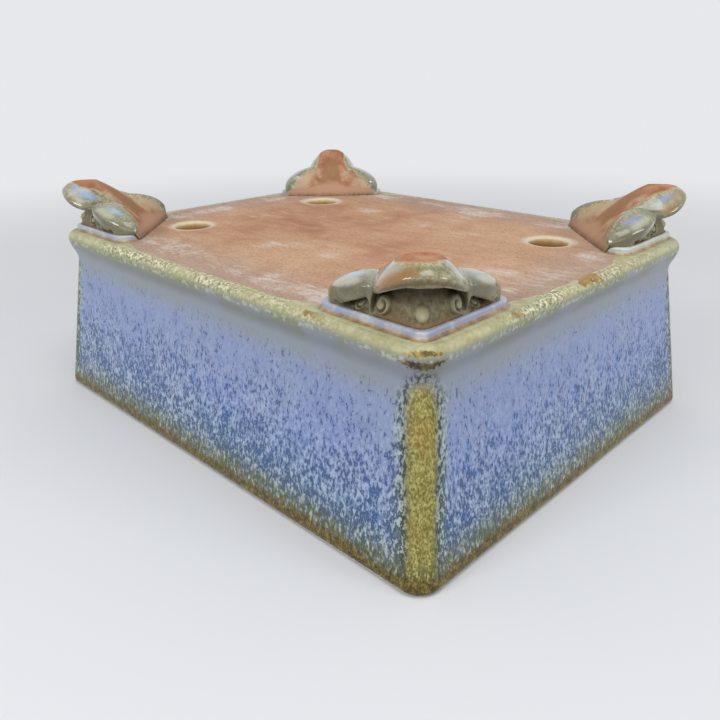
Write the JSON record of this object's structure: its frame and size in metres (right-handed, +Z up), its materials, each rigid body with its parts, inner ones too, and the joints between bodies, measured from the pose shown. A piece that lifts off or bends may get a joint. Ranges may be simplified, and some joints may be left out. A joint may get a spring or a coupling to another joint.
{
  "type": "rectangular bonsai pot",
  "caption": "Rectangular glazed stoneware bonsai pot with outward-leaning walls, a base moulding, drain holes and lobed cloud feet; holds soil and a small tree.",
  "frame": {"origin": "middle of the pot on the surface that it stands on, under its soles", "axes": "+Z up out of the pot's mouth, X along its long side, Y along its short side"},
  "size_m": [0.21, 0.17, 0.0894],
  "materials": {
    "bare_clay": "unglazed fired red-brown stoneware",
    "wall_glaze": "speckled pale blue glaze breaking to olive at the edges",
    "edge_glaze": "thin cream and olive glaze, chipped to bare clay",
    "foot_glaze": "glossy grey-olive glaze with pale blue pools"
  },
  "bodies": {
    "root": {"floor_slab": "bare_clay", "front_wall": "wall_glaze", "back_wall": "wall_glaze", "left_wall": "wall_glaze", "right_wall": "wall_glaze", "front_moulding": "edge_glaze", "back_moulding": "edge_glaze", "left_moulding": "edge_glaze", "right_moulding": "edge_glaze", "front_left_plinth": "foot_glaze", "front_right_plinth": "foot_glaze", "back_right_plinth": "foot_glaze", "back_left_plinth": "foot_glaze", "front_left_foot": "foot_glaze", "front_right_foot": "foot_glaze", "back_right_foot": "foot_glaze", "back_left_foot": "foot_glaze"}
  },
  "joints": []
}
